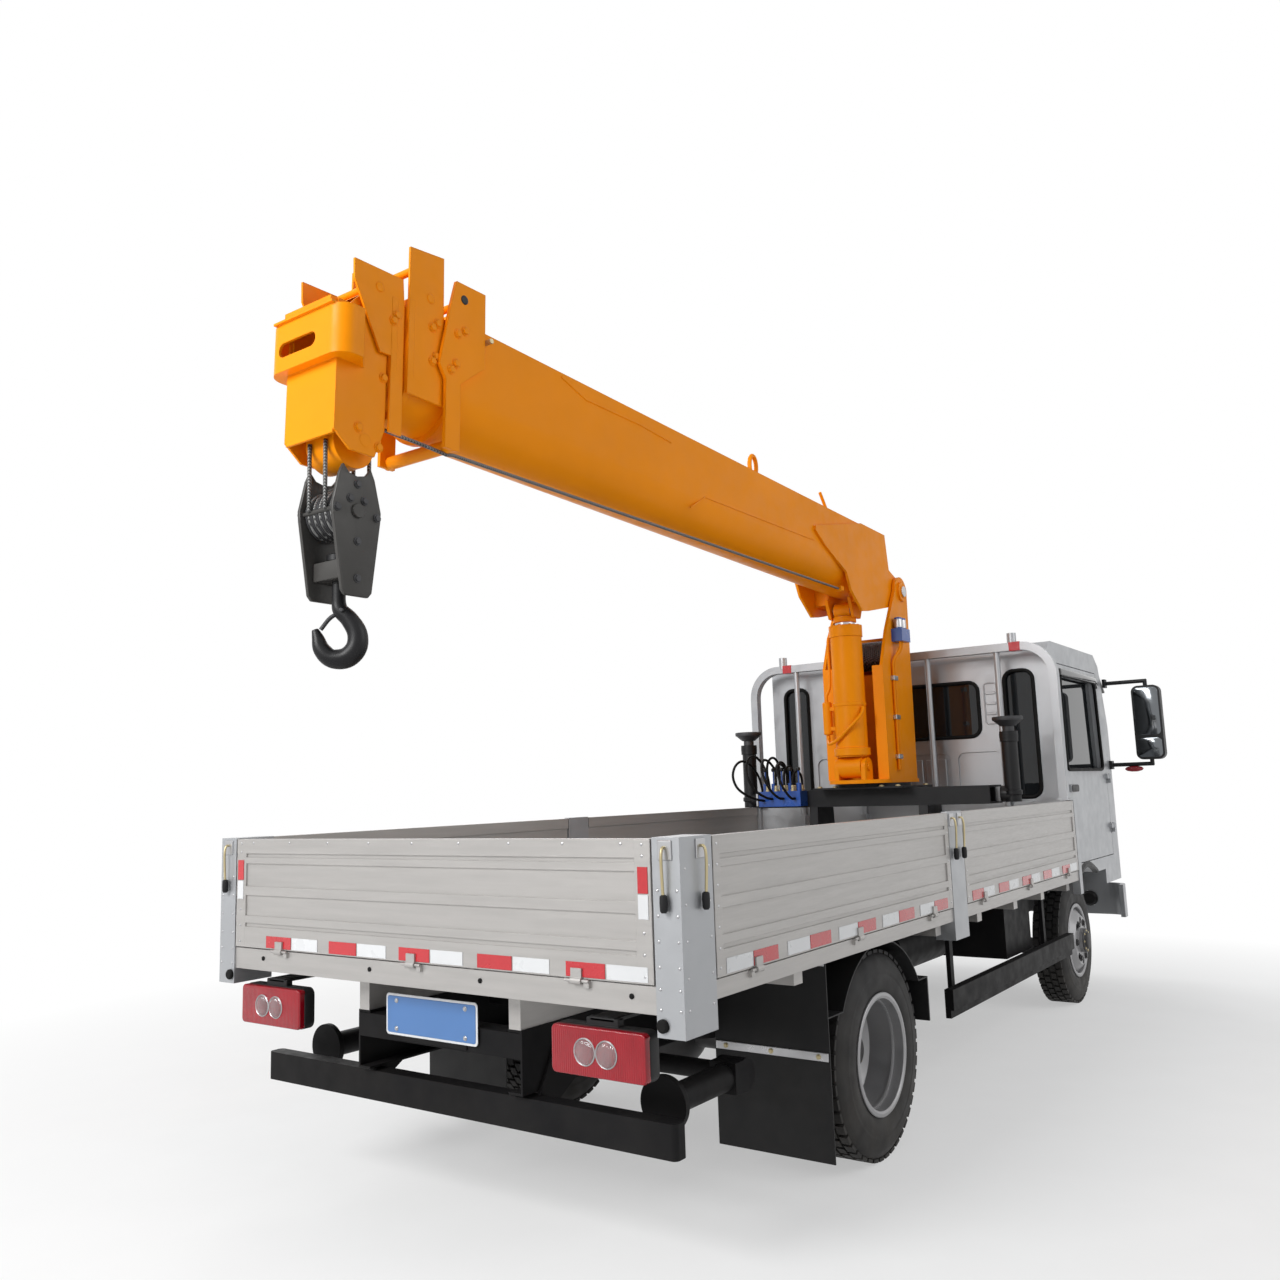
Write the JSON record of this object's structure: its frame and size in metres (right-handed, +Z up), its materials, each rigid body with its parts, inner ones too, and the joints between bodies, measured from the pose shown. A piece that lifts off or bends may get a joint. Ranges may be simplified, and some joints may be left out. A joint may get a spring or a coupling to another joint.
{
  "type": "truck-mounted crane",
  "caption": "Light cab-over flatbed truck with drop-side aluminium bed and a slewing telescopic straight-boom crane with outriggers behind the cab.",
  "frame": {"origin": "on the road under the middle of the parked machine's length and width", "axes": "+X towards the cab's front, +Y to the driver's left, +Z up"},
  "size_m": [6.4602, 2.69, 3.3221],
  "materials": {
    "black_paint": "satin",
    "dark_metal": "satin",
    "crane_orange": "gloss",
    "silver_paint": "gloss",
    "bed_aluminium": "satin",
    "bright_steel": "satin",
    "lamp_red": "gloss",
    "lamp_clear": "gloss",
    "black_plastic": "matte",
    "hose_rubber": "matte",
    "tyre_rubber": "matte",
    "valve_blue": "gloss",
    "window_glass": "gloss",
    "seat_fabric": "matte"
  },
  "bodies": {
    "chassis": {"chassis_frame": "black_paint", "running_gear": "dark_metal", "power_unit": "dark_metal", "chassis_boxes": "black_paint", "bed_floor": "bed_aluminium", "bed_posts": "silver_paint", "header_frame": "silver_paint", "tail_lamps": "lamp_red", "guard_bars": "black_paint", "mudguards": "black_plastic", "crane_base": "black_paint", "valve_bank": "valve_blue", "base_hoses": "hose_rubber", "front_bumper": "silver_paint"},
    "cab": {"cab_shell": "silver_paint", "cab_glass": "window_glass", "cab_interior": "seat_fabric", "mirrors": "black_plastic", "front_lamps": "lamp_clear", "roof_visor": "black_plastic"},
    "door_left": {"door_left": "silver_paint", "door_left_glass": "window_glass"},
    "door_right": {"door_right": "silver_paint", "door_right_glass": "window_glass"},
    "knuckle_left": {"knuckle_left": "dark_metal"},
    "knuckle_right": {"knuckle_right": "dark_metal"},
    "front_wheel_left": {"front_tyre_left": "tyre_rubber", "front_rim_left": "silver_paint"},
    "front_wheel_right": {"front_tyre_right": "tyre_rubber", "front_rim_right": "silver_paint"},
    "rear_wheels_left": {"rear_tyres_left": "tyre_rubber", "rear_rims_left": "silver_paint"},
    "rear_wheels_right": {"rear_tyres_right": "tyre_rubber", "rear_rims_right": "silver_paint"},
    "column": {"column": "crane_orange", "column_valve": "valve_blue"},
    "winch_drum": {"winch_drum": "dark_metal"},
    "lift_barrel": {"lift_barrel": "crane_orange"},
    "lift_rod": {"lift_rod": "bright_steel"},
    "boom_base": {"boom_base": "crane_orange"},
    "boom_second": {"boom_second": "crane_orange"},
    "boom_third": {"boom_third": "crane_orange"},
    "boom_head": {"boom_head": "crane_orange"},
    "hoist_rope": {"hoist_rope": "bright_steel"},
    "hook_block": {"hook_block": "dark_metal"},
    "hook": {"hook": "black_paint"},
    "tailgate": {"tailgate": "bed_aluminium"},
    "outrigger_beam_left": {"outrigger_beam_left": "bright_steel"},
    "outrigger_leg_left": {"outrigger_leg_left": "black_paint"},
    "outrigger_jack_left": {"outrigger_jack_left": "dark_metal"},
    "side_rear_left": {"side_rear_left": "bed_aluminium"},
    "side_front_left": {"side_front_left": "bed_aluminium"},
    "rear_jack_left": {"rear_jack_left": "black_paint"},
    "outrigger_beam_right": {"outrigger_beam_right": "bright_steel"},
    "outrigger_leg_right": {"outrigger_leg_right": "black_paint"},
    "outrigger_jack_right": {"outrigger_jack_right": "dark_metal"},
    "side_rear_right": {"side_rear_right": "bed_aluminium"},
    "side_front_right": {"side_front_right": "bed_aluminium"},
    "rear_jack_right": {"rear_jack_right": "black_paint"}
  },
  "joints": [
    {"name": "cab_tilt", "type": "hinge", "parent": "chassis", "child": "cab", "pos_m": [3.14011, 0, 0.56], "axis": [0, 1, 0], "range_deg": [0, 45]},
    {"name": "slew", "type": "hinge", "parent": "chassis", "child": "column", "pos_m": [1.04011, 0, 1.424], "axis": [0, 0, 1], "continuous": true},
    {"name": "winch_spin", "type": "hinge", "parent": "column", "child": "winch_drum", "pos_m": [1.1301, 0, 2.225], "axis": [0, 1, 0], "continuous": true},
    {"name": "luff", "type": "hinge", "parent": "column", "child": "boom_base", "pos_m": [1.2001, 0, 2.63], "axis": [0, 1, 0], "range_deg": [-2, 73]},
    {"name": "lift_swing", "type": "hinge", "parent": "column", "child": "lift_barrel", "pos_m": [0.77011, 0, 1.5243], "axis": [0, 1, 0], "range_deg": [-0.5, 6.51]},
    {"name": "lift_extend", "type": "slide", "parent": "lift_barrel", "child": "lift_rod", "axis": [0, 0, 1], "range_m": [-0.02, 0.5315]},
    {"name": "telescope", "type": "slide", "parent": "boom_base", "child": "boom_second", "axis": [-0.9994, 0, 0.0349], "range_m": [0, 2.4]},
    {"name": "telescope_third", "type": "slide", "parent": "boom_second", "child": "boom_third", "axis": [-0.9994, 0, 0.0349], "range_m": [0, 2.4]},
    {"name": "telescope_head", "type": "slide", "parent": "boom_third", "child": "boom_head", "axis": [-0.9994, 0, 0.0349], "range_m": [0, 2.4]},
    {"name": "hook_hang", "type": "hinge", "parent": "boom_head", "child": "hoist_rope", "pos_m": [-3.07445, 0, 2.57415], "axis": [0, 1, 0], "range_deg": [-73, 2]},
    {"name": "hoist", "type": "slide", "parent": "hoist_rope", "child": "hook_block", "axis": [0, 0, -1], "range_m": [0, 1.8], "deforming": ["hoist_rope"]},
    {"name": "hook_swivel", "type": "hinge", "parent": "hook_block", "child": "hook", "pos_m": [-3.07445, 0, 2.12415], "axis": [0, 0, 1], "continuous": true},
    {"name": "tailgate_drop", "type": "hinge", "parent": "chassis", "child": "tailgate", "pos_m": [-2.76989, 0, 0.874], "axis": [0, -1, 0], "range_deg": [0, 180]},
    {"name": "steer_left", "type": "hinge", "parent": "chassis", "child": "knuckle_left", "pos_m": [2.10011, 0.69, 0.3875], "axis": [0, 0, 1], "range_deg": [-35, 35]},
    {"name": "front_wheel_spin_left", "type": "hinge", "parent": "knuckle_left", "child": "front_wheel_left", "pos_m": [2.10011, 0.78, 0.3875], "axis": [0, 1, 0], "continuous": true},
    {"name": "rear_wheel_spin_left", "type": "hinge", "parent": "chassis", "child": "rear_wheels_left", "pos_m": [-1.25989, 0.765, 0.3875], "axis": [0, 1, 0], "continuous": true},
    {"name": "door_swing_left", "type": "hinge", "parent": "cab", "child": "door_left", "pos_m": [2.8601, 0.9843, 1.25], "axis": [0, 0, -1], "range_deg": [0, 65]},
    {"name": "side_rear_drop_left", "type": "hinge", "parent": "chassis", "child": "side_rear_left", "pos_m": [-1.65989, 1.09, 0.874], "axis": [-1, 0, 0], "range_deg": [0, 180]},
    {"name": "side_front_drop_left", "type": "hinge", "parent": "chassis", "child": "side_front_left", "pos_m": [0.44011, 1.09, 0.874], "axis": [-1, 0, 0], "range_deg": [0, 180]},
    {"name": "outrigger_out_left", "type": "slide", "parent": "chassis", "child": "outrigger_beam_left", "axis": [0, 1, 0], "range_m": [0, 0.6]},
    {"name": "outrigger_flip_left", "type": "hinge", "parent": "outrigger_beam_left", "child": "outrigger_leg_left", "pos_m": [0.98611, 0.8, 1.339], "axis": [0, -1, 0], "range_deg": [0, 180]},
    {"name": "outrigger_down_left", "type": "slide", "parent": "outrigger_leg_left", "child": "outrigger_jack_left", "axis": [0, 0, 1], "range_m": [0, 0.3]},
    {"name": "rear_jack_swing_left", "type": "hinge", "parent": "chassis", "child": "rear_jack_left", "pos_m": [-2.0599, 0.8, 0.47], "axis": [0, -1, 0], "range_deg": [0, 90]},
    {"name": "steer_right", "type": "hinge", "parent": "chassis", "child": "knuckle_right", "pos_m": [2.10011, -0.69, 0.3875], "axis": [0, 0, 1], "range_deg": [-35, 35]},
    {"name": "front_wheel_spin_right", "type": "hinge", "parent": "knuckle_right", "child": "front_wheel_right", "pos_m": [2.10011, -0.78, 0.3875], "axis": [0, 1, 0], "continuous": true},
    {"name": "rear_wheel_spin_right", "type": "hinge", "parent": "chassis", "child": "rear_wheels_right", "pos_m": [-1.25989, -0.765, 0.3875], "axis": [0, 1, 0], "continuous": true},
    {"name": "door_swing_right", "type": "hinge", "parent": "cab", "child": "door_right", "pos_m": [2.8601, -0.9843, 1.25], "axis": [0, 0, 1], "range_deg": [0, 65]},
    {"name": "side_rear_drop_right", "type": "hinge", "parent": "chassis", "child": "side_rear_right", "pos_m": [-1.65989, -1.09, 0.874], "axis": [1, 0, 0], "range_deg": [0, 180]},
    {"name": "side_front_drop_right", "type": "hinge", "parent": "chassis", "child": "side_front_right", "pos_m": [0.44011, -1.09, 0.874], "axis": [1, 0, 0], "range_deg": [0, 180]},
    {"name": "outrigger_out_right", "type": "slide", "parent": "chassis", "child": "outrigger_beam_right", "axis": [0, -1, 0], "range_m": [0, 0.6]},
    {"name": "outrigger_flip_right", "type": "hinge", "parent": "outrigger_beam_right", "child": "outrigger_leg_right", "pos_m": [1.09411, -0.8, 1.339], "axis": [0, -1, 0], "range_deg": [0, 180]},
    {"name": "outrigger_down_right", "type": "slide", "parent": "outrigger_leg_right", "child": "outrigger_jack_right", "axis": [0, 0, 1], "range_m": [0, 0.3]},
    {"name": "rear_jack_swing_right", "type": "hinge", "parent": "chassis", "child": "rear_jack_right", "pos_m": [-2.0599, -0.8, 0.47], "axis": [0, -1, 0], "range_deg": [0, 90]}
  ],
  "couplings": [
    {"joint": "lift_swing", "follows": "luff", "ratio": 0.085017},
    {"joint": "lift_extend", "follows": "luff", "m_per_rad": 0.41326},
    {"joint": "hook_hang", "follows": "luff", "ratio": -1},
    {"joint": "telescope_third", "follows": "telescope", "ratio": 1},
    {"joint": "telescope_head", "follows": "telescope", "ratio": 1},
    {"joint": "steer_right", "follows": "steer_left", "ratio": 1}
  ]
}
